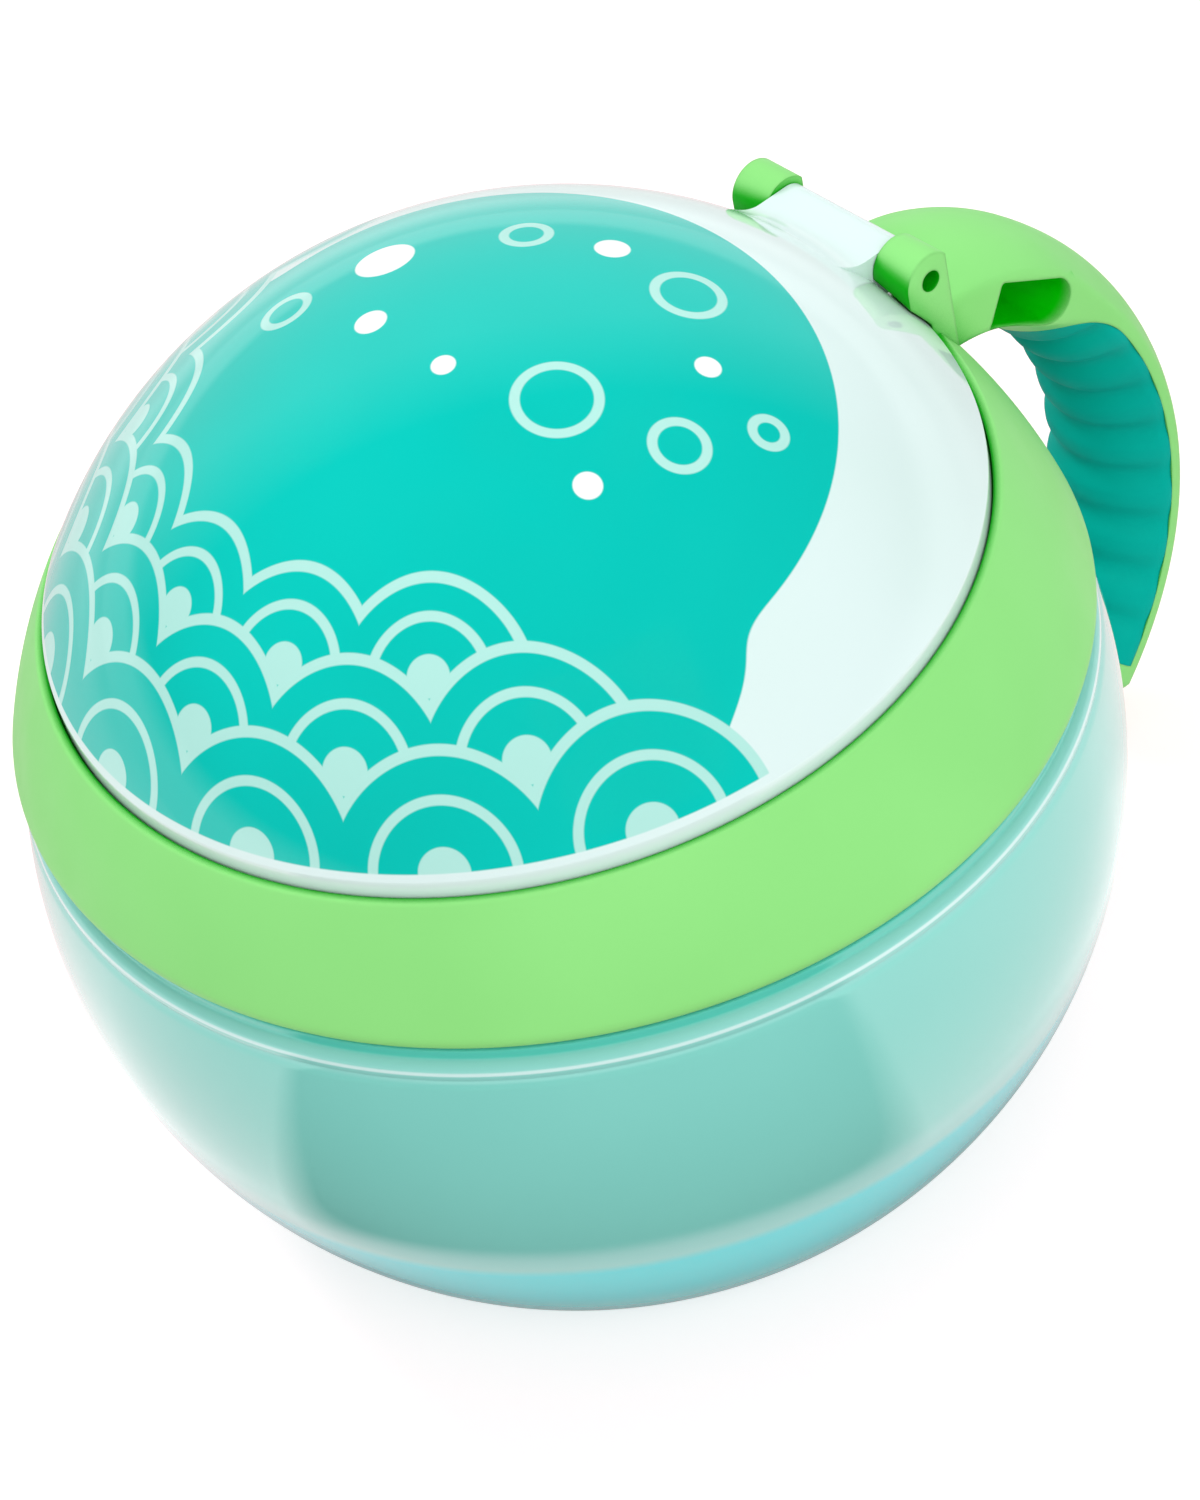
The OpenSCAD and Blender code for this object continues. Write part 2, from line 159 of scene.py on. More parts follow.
def tidy_mesh(mesh, sharp):
    """Merges double points, turns all faces outwards and marks the sharp edges."""
    bm = bmesh.new()
    bm.from_mesh(mesh)
    bmesh.ops.remove_doubles(bm, verts=bm.verts, dist=2e-6)
    bmesh.ops.delete(bm, geom=[e for e in bm.edges if not e.link_faces], context="EDGES")
    bmesh.ops.recalc_face_normals(bm, faces=bm.faces)
    if bm.calc_volume(signed=True) < 0:
        bmesh.ops.reverse_faces(bm, faces=bm.faces)
    bm.to_mesh(mesh)
    bm.free()
    mesh.shade_smooth()
    mesh.set_sharp_from_angle(angle=math.radians(sharp))


def grid_faces(rows, cols):
    """Quads of a grid that closes both ways."""
    faces = []
    for i in range(rows):
        for j in range(cols):
            a, b = i * cols + j, i * cols + (j + 1) % cols
            c, d = (i + 1) % rows * cols + (j + 1) % cols, (i + 1) % rows * cols + j
            faces.append((a, b, c, d))
    return faces


def lathe(name, outline, seg=240, sharp=32, frame_of=None):
    """Turns a closed (r, z) outline about Z."""
    verts = []
    for t in np.linspace(0, 2 * math.pi, seg, endpoint=False):
        for r, z in outline:
            verts.append((r * math.cos(t), r * math.sin(t), z))
    return piece(name, verts, grid_faces(seg, len(outline)), sharp, frame_of)


def prism(name, outline, x0, x1, bevel=0.0):
    """Extrudes a (y, z) outline along X and softens its edges."""
    bm = bmesh.new()
    verts = [bm.verts.new((x0 * MM, y * MM, z * MM)) for y, z in outline]
    edges = [bm.edges.new((verts[i - 1], verts[i])) for i in range(len(verts))]
    made = bmesh.ops.triangle_fill(bm, use_beauty=True, use_dissolve=False, edges=edges)
    faces = [f for f in made["geom"] if isinstance(f, bmesh.types.BMFace)]
    grown = bmesh.ops.extrude_face_region(bm, geom=faces)
    moved = [v for v in grown["geom"] if isinstance(v, bmesh.types.BMVert)]
    bmesh.ops.translate(bm, verts=moved, vec=((x1 - x0) * MM, 0, 0))
    bmesh.ops.recalc_face_normals(bm, faces=bm.faces)
    mesh = bpy.data.meshes.new(name)
    bm.to_mesh(mesh)
    bm.free()
    obj = placed(name, mesh)
    if bevel:
        mod = obj.modifiers.new("soft_edges", "BEVEL")
        mod.width = bevel * MM
        mod.segments = 3
        mod.limit_method = "ANGLE"
        mod.angle_limit = math.radians(40)
        apply_modifiers(obj)
    tidy_mesh(obj.data, 32)
    return obj


def apply_modifiers(obj):
    """Puts what an object's modifiers make into its own mesh."""
    bpy.context.view_layer.update()
    deps = bpy.context.evaluated_depsgraph_get()
    baked = bpy.data.meshes.new_from_object(obj.evaluated_get(deps))
    obj.modifiers.clear()
    obj.data = baked


def cut(obj, tool, how="DIFFERENCE", sharp=32):
    """Boolean of two closed meshes, which uses the second one up."""
    mod = obj.modifiers.new("cut", "BOOLEAN")
    mod.operation = how
    mod.solver = "MANIFOLD"
    mod.object = tool
    apply_modifiers(obj)
    bpy.data.objects.remove(tool)
    obj.data.shade_smooth()
    obj.data.set_sharp_from_angle(angle=math.radians(sharp))
    return obj


def true_round(obj, centre, r):
    """Gives the faces on a ball the ball's own normals, whatever the cuts made of them."""
    off_ball, aligned = 0.02 * MM, 0.95
    mesh = obj.data
    normals = [corner.vector.copy() for corner in mesh.corner_normals]
    for face in mesh.polygons:
        for i in face.loop_indices:
            out = mesh.vertices[mesh.loops[i].vertex_index].co - centre
            if abs(out.length - r * MM) < off_ball and face.normal.dot(out.normalized()) > aligned:
                normals[i] = out.normalized()
    mesh.normals_split_custom_set(normals)
    return obj


def join(name, objects):
    """Joins meshes into one object that keeps their normals."""
    normals = []
    bm = bmesh.new()
    for obj in objects:
        normals += [corner.vector.copy() for corner in obj.data.corner_normals]
        bm.from_mesh(obj.data)
        bpy.data.objects.remove(obj)
    mesh = bpy.data.meshes.new(name)
    bm.to_mesh(mesh)
    bm.free()
    mesh.normals_split_custom_set(normals)
    return placed(name, mesh)


def tilted(h=0.0):
    """Frame of the lid, with its origin at a height over the ball's centre."""
    return (
        Matrix.Translation((0, 0, BALL_H * MM))
        @ Matrix.Rotation(TILT, 4, "X")
        @ Matrix.Translation((0, 0, h * MM))
    )


def rod(name, r, x0, x1, bevel=0.0):
    """A rod along the hinge axis."""
    ring = [(y, z) for y, z, _ in arc(PIN_Y, PIN_Z, r, 0, 352.5, 48)]
    return prism(name, ring, x0, x1, bevel)


# ------------------------------------------------------------------ nodes


class Tree:
    """Short names for building the nodes of a tree."""

    def __init__(self, tree):
        self.tree = tree

    def new(self, kind, **values):
        node = self.tree.nodes.new(kind)
        for key, value in values.items():
            setattr(node, key, value)
        return node

    def put(self, socket, value):
        """Links a socket to another one, or gives it a plain value."""
        if isinstance(value, bpy.types.NodeSocket):
            self.tree.links.new(value, socket)
        else:
            socket.default_value = value

    def math(self, operation, *values):
        node = self.new("ShaderNodeMath", operation=operation)
        for socket, value in zip(node.inputs, values):
            self.put(socket, value)
        return node.outputs[0]

    def axes(self, vector):
        """X, Y and Z of a vector."""
        node = self.new("ShaderNodeSeparateXYZ")
        self.put(node.inputs[0], vector)
        return node.outputs

    def length(self, x, y):
        """Root of x squared and y squared."""
        return self.math("SQRT", self.math("ADD", self.math("MULTIPLY", x, x), self.math("MULTIPLY", y, y)))

    def ramp(self, value, low, high, out_low=0.0, out_high=1.0, soft="LINEAR"):
        """Turns low..high into out_low..out_high, and keeps the ends beyond them."""
        node = self.new("ShaderNodeMapRange", interpolation_type=soft)
        numbers = {"Value": value, "From Min": low, "From Max": high, "To Min": out_low, "To Max": out_high}
        for key, number in numbers.items():
            self.put(node.inputs[key], number)
        return node.outputs["Result"]

    def between(self, value, low, high, out_low=0.0, out_high=1.0):
        """The same with soft ends."""
        return self.ramp(value, low, high, out_low, out_high, "SMOOTHSTEP")

    def level(self, factor, a, b):
        """Number between a and b."""
        node = self.new("ShaderNodeMix")
        for key, value in (("Factor", factor), ("A", a), ("B", b)):
            self.put(node.inputs[key], value)
        return node.outputs[0]

    def mix(self, factor, a, b):
        """Colour between a and b."""
        node = self.new("ShaderNodeMix", data_type="RGBA")
        self.put(node.inputs["Factor"], factor)
        self.put(node.inputs[6], a)
        self.put(node.inputs[7], b)
        return node.outputs[2]


class Nodes(Tree):
    """A new material with its shader, and short names for its nodes."""

    def __init__(self, name, roughness, specular=0.5):
        self.mat = bpy.data.materials.new(name)
        self.mat.use_nodes = True
        super().__init__(self.mat.node_tree)
        self.shader = self.tree.nodes["Principled BSDF"]
        self.shader.inputs["Roughness"].default_value = roughness
        self.shader.inputs["Specular IOR Level"].default_value = specular
        self.place = self.new("ShaderNodeTexCoord").outputs["Object"]

    def noise(self, scale, detail):
        node = self.new("ShaderNodeTexNoise")
        self.put(node.inputs["Vector"], self.place)
        node.inputs["Scale"].default_value = scale
        node.inputs["Detail"].default_value = detail
        return node.outputs["Fac"]

    def inside(self, distance):
        """1 where a signed distance is negative."""
        blur = 0.1
        return self.between(distance, blur, -blur)

    def line(self, distance, half):
        """1 along the zero of a signed distance."""
        return self.inside(self.math("SUBTRACT", self.math("ABSOLUTE", distance), half))

    def hollow(self, reach):
        """1 on open faces and less in slots and creases."""
        node = self.new("ShaderNodeAmbientOcclusion", samples=8)
        node.inputs["Distance"].default_value = reach * MM
        return node.outputs["AO"]

    def bump(self, height, distance, strength, edge=None):
        """Fine relief by a height of 0 to 1, over edges rounded to a radius."""
        node = self.new("ShaderNodeBump")
        node.inputs["Strength"].default_value = strength
        node.inputs["Distance"].default_value = distance * MM
        self.put(node.inputs["Height"], height)
        if edge:
            soft = self.new("ShaderNodeBevel", samples=6)
            soft.inputs["Radius"].default_value = edge * MM
            self.put(node.inputs["Normal"], soft.outputs[0])
        self.put(self.shader.inputs["Normal"], node.outputs["Normal"])


# ------------------------------------------------------------------ bowl


def make_bowl():
    """Turned shell with a rounded foot, a bead in the band under the neck, and its thread lugs."""
    band_r = math.sqrt(BOWL_R**2 - (BAND_Z - BALL_H) ** 2) - BAND_DEPTH
    over_bead, inner_r, inner_z = band_r - 0.6, NECK_R - NECK_WALL, SHOULDER_Z - BOWL_WALL
    outline = ball_side(BOWL_R, 0, FOOT_ROUND, BAND_Z, 110)
    outline += arc(band_r - 0.9, BAND_Z + BEAD_RISE, BEAD_R, -20, 60, 12)
    outline += [(over_bead, BAND_Z + BEAD_RISE + BEAD_R, 0.3), (over_bead, SHOULDER_Z, 0.4)]
    outline += [(NECK_R, SHOULDER_Z, 0.4), (NECK_R, NECK_TOP, 0.5)]
    outline += [(inner_r, NECK_TOP, 0.5), (inner_r, inner_z, 0.5)]
    outline += ball_side(BOWL_R - BOWL_WALL, FLOOR_T, FOOT_ROUND + BOWL_WALL, inner_z, 90)[::-1]
    shell = lathe("bowl_turned", rounded(outline), 288, 28)
    return join("bowl_shell", [shell, *lugs(NECK_R - EMBED, NECK_R + LUG_DEPTH, BOWL_LUG_Z)])


def ball_side(r, z0, f, z1, n):
    """Half outline of a ball that stands on a flat face at z0, its edge rounded by f, up to z1."""
    drop = BALL_H - z0 - f
    edge = math.sqrt((r - f) ** 2 - drop**2)
    low = -math.degrees(math.asin(drop / (r - f)))
    high = math.degrees(math.asin((z1 - BALL_H) / r))
    return [(0.0, z0, 0.0)] + arc(edge, z0 + f, f, -90, low, 10) + arc(0, BALL_H, r, low, high, n)[1:]


def lugs(r_wall, r_tip, z):
    """The thread lugs round the neck or in the collar's bore."""
    return [lug(r_wall, r_tip, z, i * 360 / LUG_COUNT) for i in range(LUG_COUNT)]


def lug(r_wall, r_tip, z, turn):
    """One sloping thread lug with soft ends."""
    steps, slope = 16, LIFT / UNSCREW_TURN
    verts = []
    for s in range(steps + 1):
        deg = LUG_ARC * (s / steps - 0.5)
        reach = min(1.0, (LUG_ARC / 2 - abs(deg)) / 3 + 0.25)
        tip = r_wall + (r_tip - r_wall) * reach
        t = math.radians(turn + deg)
        for r, level in ((r_wall, -0.5), (tip, -0.42), (tip, 0.42), (r_wall, 0.5)):
            verts.append((r * math.cos(t), r * math.sin(t), z + level * LUG_H + deg * slope))
    faces = []
    for s in range(steps):
        for k in range(4):
            a, b = s * 4 + k, s * 4 + (k + 1) % 4
            faces.append((a, b, b + 4, a + 4))
    faces += [(0, 1, 2, 3), tuple(steps * 4 + k for k in (3, 2, 1, 0))]
    return piece("lug", verts, faces)


# ------------------------------------------------------------------ collar and handle


def make_ring():
    """The collar's ring: its foot is level and its top leans with the lid."""
    z0, inner = SHOULDER_Z + COLLAR_GAP, BALL_R - COLLAR_ROUND
    rise = z0 + COLLAR_ROUND - BALL_H
    edge = math.sqrt(inner**2 - rise**2)
    low = math.degrees(math.asin(rise / inner))
    high = math.degrees(math.asin(RIM_H / BALL_R))
    # each row is r, z, corner radius and the share of the lean that it takes
    rows = [(SKIRT_BORE, z0, 0.3, 0.0)]
    rows += [(x, z, 0.0, 0.0) for x, z, _ in arc(edge, z0 + COLLAR_ROUND, COLLAR_ROUND, -90, low, 10)]
    for angle in np.linspace(low, high, 40)[1:-1]:
        share = min(1.0, (angle - low) / (high - low) * 1.25)
        t = math.radians(angle)
        rows.append((BALL_R * math.cos(t), BALL_H + BALL_R * math.sin(t), 0.0, share**2 * (3 - 2 * share)))
    top, ledge, seat = BALL_H + RIM_H, BALL_H + LEDGE_H, BALL_H + SEAT_H
    recess = RECESS_R - RECESS_CLOSER
    rows += [(RECESS_R + RIM_W, top, 0.35, 1.0), (recess, top, 0.2, 1.0), (recess, ledge, 0.3, 1.0)]
    rows += [(MOUTH_R, ledge, 0.3, 1.0), (MOUTH_R, seat, 0.2, 1.0), (HAND_R, seat, 0.4, 1.0)]
    rows += [(HAND_R, WEB_Z, 0.4, 0.0), (SKIRT_BORE, WEB_Z, 0.4, 0.0)]
    plain = rounded([(x, z, r) for x, z, r, _ in rows])
    # a rounded corner is five points of the outline
    lean = []
    for _, _, r, w in rows:
        lean += [w * TILT] * (5 if r > 0 else 1)
    seg = 288
    verts = []
    for t in np.linspace(0, 2 * math.pi, seg, endpoint=False):
        for (x, z), a in zip(plain, lean):
            y, h = x * math.sin(t), z - BALL_H
            cos_a, sin_a = math.cos(a), math.sin(a)
            verts.append((x * math.cos(t), y * cos_a - h * sin_a, y * sin_a + h * cos_a + BALL_H))
    return piece("collar_ring", verts, grid_faces(seg, len(plain)), 30)


def handle_section(crown, belly):
    """Cross-section of the handle as (x, depth under the crown), with soft corners."""
    half = HANDLE_W / 2
    crown_r = (half**2 + crown**2) / (2 * crown)
    belly_r = (half**2 + belly**2) / (2 * belly)
    xs = np.linspace(-half, half, 25)
    over = [(x, crown_r - math.sqrt(crown_r**2 - x**2), 0.0) for x in xs]
    under = [(x, HANDLE_T - belly_r + math.sqrt(belly_r**2 - x**2), 0.0) for x in xs[::-1]]
    for corner in (0, -1):
        over[corner] = (*over[corner][:2], 1.0)
        under[corner] = (*under[corner][:2], 1.0)
    mid = (crown + HANDLE_T - belly) / 2
    return rounded(over + [(half, mid, 0.0)] + under + [(-half, mid, 0.0)], 5)


def handle_stations():
    """Sections along the handle: centre, outer radius, angle, slip past the tip, scale of x and depth."""
    out = []
    centre_drop = math.sqrt(TIP_R**2 - (HANDLE_T / 2) ** 2)
    # the round tip, which slips forward along the arc's tangent
    for s in np.linspace(1, 0, 10)[:-1]:
        slip = (TIP_R - centre_drop) * math.sin(s * math.pi / 2) * 0.995
        slim = math.sqrt(TIP_R**2 - (centre_drop + slip) ** 2) / (HANDLE_T / 2)
        out.append((ARC_Y, ARC_Z, HANDLE_R, TIP_ANGLE, -slip, 0.6 + 0.4 * slim, slim))
    for angle in np.linspace(TIP_ANGLE, ROOT_ANGLE, 150):
        out.append((ARC_Y, ARC_Z, HANDLE_R, angle, 0.0, 1.0, 1.0))
    # the root, which turns tighter and runs on into the ring
    for angle in np.linspace(ROOT_ANGLE, 97, 50)[1:]:
        out.append((ROOT_Y, ROOT_Z, ROOT_R, angle, 0.0, 1.0, 1.0))
    return out


def make_handle(name, ribs):
    """The handle as one swept body, boxier by its root, with finger waves on the grip's copy."""
    slim, boxy = handle_section(CROWN, BELLY), handle_section(ROOT_CROWN, ROOT_BELLY)
    stations = handle_stations()
    verts = []
    for cy, cz, outer, angle, slip, scale_x, scale_d in stations:
        t = math.radians(angle)
        share = min(1.0, max(0.0, (angle - 32) / 18))
        section = slim + (boxy - slim) * share**2 * (3 - 2 * share)
        for x, depth in section:
            x, depth = x * scale_x, HANDLE_T / 2 + (depth - HANDLE_T / 2) * scale_d
            if ribs:
                x, depth = waved(x, depth, angle)
            d = outer - depth
            y, z = cy + d * math.cos(t), cz + d * math.sin(t)
            verts.append((x, y - slip * math.sin(t), z + slip * math.cos(t)))
    n, rows = len(slim), len(stations)
    faces = grid_faces(rows, n)[: (rows - 1) * n]
    faces += [tuple(range(n)), tuple(range((rows - 1) * n, rows * n))[::-1]]
    return piece(name, verts, faces, 40)


def waved(x, depth, angle):
    """Sinks a point of the grip into the groove between two ribs."""
    pitch = (RIB_LAST - RIB_FIRST) / (RIB_COUNT - 1)
    wave = 0.5 + 0.5 * math.cos(2 * math.pi * (angle - RIB_FIRST) / pitch)
    # the grooves fade out at both ends of the row and towards the spine
    fade = max(0.0, min(1.0, (angle + 38) / 5)) * max(0.0, min(1.0, (40 - angle) / 5))
    reach = max(0.0, min(1.0, (depth - 3.6) / 3.0))
    core = 4.5
    span = math.hypot(x, depth - core) or 1.0
    s = RIB_SINK * wave**1.5 * fade * reach / span
    return x - s * x, depth - s * (depth - core)


def grip_zone():
    """Side view (y, z) of the zone that the soft grip fills."""
    zone_r, tip, reach = HANDLE_R - SPINE_T, TIP_ANGLE + 3, HANDLE_R - SPINE_T - GRIP_END_R
    cy = ARC_Y + reach * math.cos(math.radians(GRIP_END))
    cz = ARC_Z + reach * math.sin(math.radians(GRIP_END))
    out = arc(ARC_Y, ARC_Z, zone_r, tip, GRIP_END, 90)
    out += arc(cy, cz, GRIP_END_R, GRIP_END, GRIP_END + 130, 44)[1:]
    # closed well inside the handle's arc
    out += arc(ARC_Y, ARC_Z, 22.0, 30, tip, 8)
    return [(y, z) for y, z, _ in out]


def slot_outline():
    """The D-shaped strap slot, as (y, z)."""
    flat = [(0, -SLOT_H / 2, 0.5), (SLOT_L - SLOT_H / 2, -SLOT_H / 2, 0)]
    flat += arc(SLOT_L - SLOT_H / 2, 0, SLOT_H / 2, -90, 90, 22)[1:-1]
    flat += [(SLOT_L - SLOT_H / 2, SLOT_H / 2, 0), (0, SLOT_H / 2, 0.5)]
    lean_c, lean_s = math.cos(SLOT_LEAN), math.sin(SLOT_LEAN)
    return [(SLOT_Y + u * lean_c - v * lean_s, SLOT_Z + u * lean_s + v * lean_c) for u, v in rounded(flat, 6)]


def make_ear(side):
    """One hinge ear: round over the pin, flat at the back, clear of the closed lid."""
    back, front, foot = PIN_Y + EAR_BACK, PIN_Y - EAR_R, BALL_H + RIM_H - 1
    start = math.degrees(math.acos(EAR_BACK / EAR_R))
    side_view = [(back, foot)]
    side_view += [(y, z) for y, z, _ in arc(PIN_Y, PIN_Z, EAR_R, start, 180, 30)]
    side_view += [(front, foot)]
    x0, x1 = sorted((side * EAR_IN, side * (EAR_IN + EAR_T)))
    ear = prism("ear", side_view, x0, x1, 0.4)
    edge, grown = LID_R + EAR_CLEAR, DOME_R + EAR_CLEAR
    room = [(0.0, 0.0, 0.0), (edge, 0.0, 0.0)]
    room += arc(0, DOME_H, grown, math.degrees(math.acos(edge / grown)), 90, 60)
    cut(ear, lathe("room", rounded(room), 240, 30, tilted()))
    return cut(ear, rod("hole", BORE_R, *sorted((side * 20, side * 5))))


def make_collar():
    """The ring, the handle's spine with its slot, and the ears, which are one moulding."""
    spine = make_handle("spine", False)
    cut(spine, prism("zone", grip_zone(), -20, 20), sharp=40)
    cut(spine, prism("slot", slot_outline(), -20, 20), sharp=40)
    parts = [make_ring(), spine, make_ear(-1), make_ear(1)]
    parts += lugs(SKIRT_BORE + EMBED, SKIRT_BORE - LUG_DEPTH, COLLAR_LUG_Z)
    return join("collar_body", parts)


def make_grip():
    """The soft filling of the handle's inner side, with its finger waves."""
    body = make_handle("handle_grip_soft", True)
    return cut(body, prism("zone", grip_zone(), -20, 20), "INTERSECT", sharp=40)


# ------------------------------------------------------------------ lid and pin


def dome_outline():
    """Closed (r, z) outline of the lid's shell and its inner skirt, from the dome's centre."""
    side_z, low_z = LID_H - DOME_H, LEDGE_H + EDGE_GAP - DOME_H
    skirt_z = LEDGE_H - BEAD_DROP + SEAL_GAP - DOME_H
    inner = DOME_R - LID_WALL
    skirt_in = SKIRT_R - SKIRT_WALL
    side_in = LID_R - LID_WALL
    out = arc(0, 0, DOME_R, 90, math.degrees(math.asin(side_z / DOME_R)), 120)
    out[-1] = (*out[-1][:2], EDGE_ROUND)
    out += [(LID_R, low_z, EDGE_ROUND), (side_in, low_z, 0.3)]
    out += [(side_in, math.sqrt(inner**2 - side_in**2), 0.2)]
    out += [(SKIRT_R, math.sqrt(inner**2 - SKIRT_R**2), 0.2)]
    out += [(SKIRT_R, skirt_z, 0.4), (skirt_in, skirt_z, 0.4)]
    out += arc(0, 0, inner, math.degrees(math.acos(skirt_in / inner)), 90, 100)
    return rounded(out)


def ball_top(x, y, r):
    """Height of a ball round the dome's centre, over a point of the part's own frame."""
    centre = tilted(DOME_H).translation / MM
    return centre.z + math.sqrt(r**2 - x**2 - (y - centre.y) ** 2)


def soft_max(a, b, k):
    """The higher of two heights, with a fillet about as wide as k."""
    share = max(k - abs(a - b), 0) / k
    return max(a, b) + share**2 * k / 4


def make_leaf():
    """The flat hinge plate with its barrel, which flows into the dome with a fillet."""
    half, top, low = EAR_IN - PLATE_GAP, PIN_Z + BARREL_R, PIN_Z - BARREL_R
    ys = np.linspace(PIN_Y - PLATE_L, PIN_Y, 70)
    rows = 49
    verts = []
    for x in np.linspace(-half, half, rows):
        over = [(y, soft_max(ball_top(x, y, DOME_R) - 0.03, top, 2.0)) for y in ys]
        back = [(y, z) for y, z, _ in arc(PIN_Y, PIN_Z, BARREL_R, 90, -90, 26)[1:-1]]
        under = [(y, max(low, ball_top(x, y, DOME_R - LID_WALL) + 0.3)) for y in ys[::-1]]
        verts += [(x, y, z) for y, z in over + back + under]
    n = len(verts) // rows
    last = (rows - 1) * n
    faces = grid_faces(rows, n)[:last] + [tuple(range(n)), tuple(range(last, rows * n))[::-1]]
    return cut(piece("leaf", verts, faces, 40), rod("bore", BORE_R, -7.5, 7.5), sharp=40)


def make_lid():
    """The dome with room for the ears, and its hinge plate."""
    dome = lathe("lid_dome", dome_outline(), 288, 28, tilted(DOME_H))
    for side in (-1, 1):
        pocket = [(y, z) for y, z, _ in arc(PIN_Y, PIN_Z, EAR_R + EAR_CLEAR, 0, 352.5, 48)]
        x0, x1 = sorted((side * BARREL_L / 2, side * (EAR_IN + EAR_T + EAR_CLEAR)))
        cut(dome, prism("pocket", pocket, x0, x1))
    return join("lid_body", [true_round(dome, tilted(DOME_H).translation, DOME_R), make_leaf()])


# ------------------------------------------------------------------ flaps and seals


def make_flap_ring():
    """Soft ring with a six-sided hole and a raised bead against the mouth."""
    low, high, outer = SEAT_H + CLOSE_GAP, LEDGE_H - BEAD_DROP, MOUTH_R - SIDE_GAP
    flat = low + RING_T
    rows = [(0.0, low, 0.0), (outer, low, 0.3), (outer, high, 0.5), (outer - BEAD_W, high, 0.5)]
    rows += [(outer - BEAD_W, flat, 0.4), (0.0, flat, 0.0)]
    profile = rounded(rows)
    seg = 288
    verts = []
    for t in np.linspace(0, 2 * math.pi, seg, endpoint=False):
        off = (math.degrees(t) + 30) % 60 - 30
        hole = RING_APOTHEM / math.cos(math.radians(off))
        for r, z in profile:
            r = max(r, hole)
            verts.append((r * math.cos(t), r * math.sin(t), z))
    return piece("flap_ring_soft", verts, grid_faces(seg, len(profile)), 30, tilted())


def make_flap(index):
    """A soft triangle of rubber that thins out towards its edges."""
    root, n = FLAP_ROOT, 26
    half = root * math.tan(math.radians(30)) - SLIT / math.cos(math.radians(30))
    tip = SLIT / math.sin(math.radians(30))
    mid = SEAT_H + CLOSE_GAP + RING_T / 2
    turn = math.radians((index - 1) * 60)
    verts = []
    for layer in (1, -1):
        for i in range(n + 1):
            r = tip + (root - tip) * i / n
            wide = half * i / n
            for j in range(n + 1):
                w = 2 * j / n - 1
                edge = max(0.0, min((1 - abs(w)) * wide * 0.87, root - r + 0.6, r - tip + 0.05))
                z = mid + layer * FLAP_T / 2 * min(1.0, 0.35 + edge / 0.7 * 0.65)
                y = w * wide
                x, y = r * math.cos(turn) - y * math.sin(turn), r * math.sin(turn) + y * math.cos(turn)
                verts.append((x, y, z))
    row = n + 1
    base = row * row
    faces = []
    for i in range(n):
        for j in range(n):
            a = i * row + j
            faces.append((a, a + 1, a + row + 1, a + row))
            faces.append((base + a, base + a + row, base + a + row + 1, base + a + 1))
    rim = [i * row for i in range(row)] + [n * row + j for j in range(1, row)]
    rim += [i * row + n for i in range(n - 1, -1, -1)] + [j for j in range(n - 1, 0, -1)]
    for k, a in enumerate(rim):
        b = rim[(k + 1) % len(rim)]
        faces.append((a, b, base + b, base + a))
    return piece(f"flap_{index}_soft", verts, faces, 50, tilted())


def make_gasket():
    """The seal that lies on the bowl's neck."""
    r0, r1, z0 = NECK_R - NECK_WALL + SIDE_GAP, NECK_R - SIDE_GAP, NECK_TOP + CLOSE_GAP
    rows = [(r0, z0, 0.35), (r1, z0, 0.35), (r1, z0 + GASKET_T, 0.35), (r0, z0 + GASKET_T, 0.35)]
    return lathe("gasket_ring", rounded(rows), 240, 60)


# ------------------------------------------------------------------ materials


def colour(r, g, b):
    """sRGB 0-255 to the linear colour of a socket."""
    linear = []
    for c in (r, g, b):
        c /= 255
        linear.append(c / 12.92 if c <= 0.04045 else ((c + 0.055) / 1.055) ** 2.4)
    return (*linear, 1.0)


def slot_shade_mask(m):
    """Mask of painted shade: 1 on the walls of the strap slot, less at its mouths."""
    x, y, z = [m.math("MULTIPLY", axis, 1000) for axis in m.axes(m.place)]
    y, z = m.math("SUBTRACT", y, SLOT_Y), m.math("SUBTRACT", z, SLOT_Z)
    lean_c, lean_s = math.cos(SLOT_LEAN), math.sin(SLOT_LEAN)
    u = m.math("ADD", m.math("MULTIPLY", y, lean_c), m.math("MULTIPLY", z, lean_s))
    v = m.math("SUBTRACT", m.math("MULTIPLY", z, lean_c), m.math("MULTIPLY", y, lean_s))
    along = m.math("SUBTRACT", m.math("ABSOLUTE", m.math("SUBTRACT", u, SLOT_L / 2)), SLOT_L / 2 + 0.2)
    across = m.math("SUBTRACT", m.math("ABSOLUTE", v), SLOT_H / 2 + 0.2)
    inside = m.inside(m.math("MAXIMUM", along, across))
    return m.math("MULTIPLY", inside, m.between(m.math("ABSOLUTE", x), 8.0, 6.4))


def moulded(name, tone, shade, roughness, crease_shade=None, grain=900, edge=0.5, specular=0.5, slot_shade=None):
    """Moulded plastic or rubber: two close tones with fine grain and soft edges, and, where given, painted
    shade in its creases and hollows and on the walls of its strap slot.
    """
    m = Nodes(name, roughness, specular)
    look = m.mix(m.between(m.noise(38, 2), 0.3, 0.7), tone, shade)
    # painted shade: a darker tone where ambient occlusion finds creases and hollows
    if crease_shade:
        look = m.mix(m.between(m.hollow(5.0), 0.88, 0.52), look, crease_shade)
    # painted shade on the walls of the strap slot
    if slot_shade:
        look = m.mix(slot_shade_mask(m), look, slot_shade)
    m.put(m.shader.inputs["Base Color"], look)
    low, high = roughness * 0.88, roughness * 1.12
    m.put(m.shader.inputs["Roughness"], m.between(m.noise(160, 4), 0.3, 0.7, low, high))
    m.bump(m.noise(grain, 3), 0.02, 0.5, edge)
    return m.mat


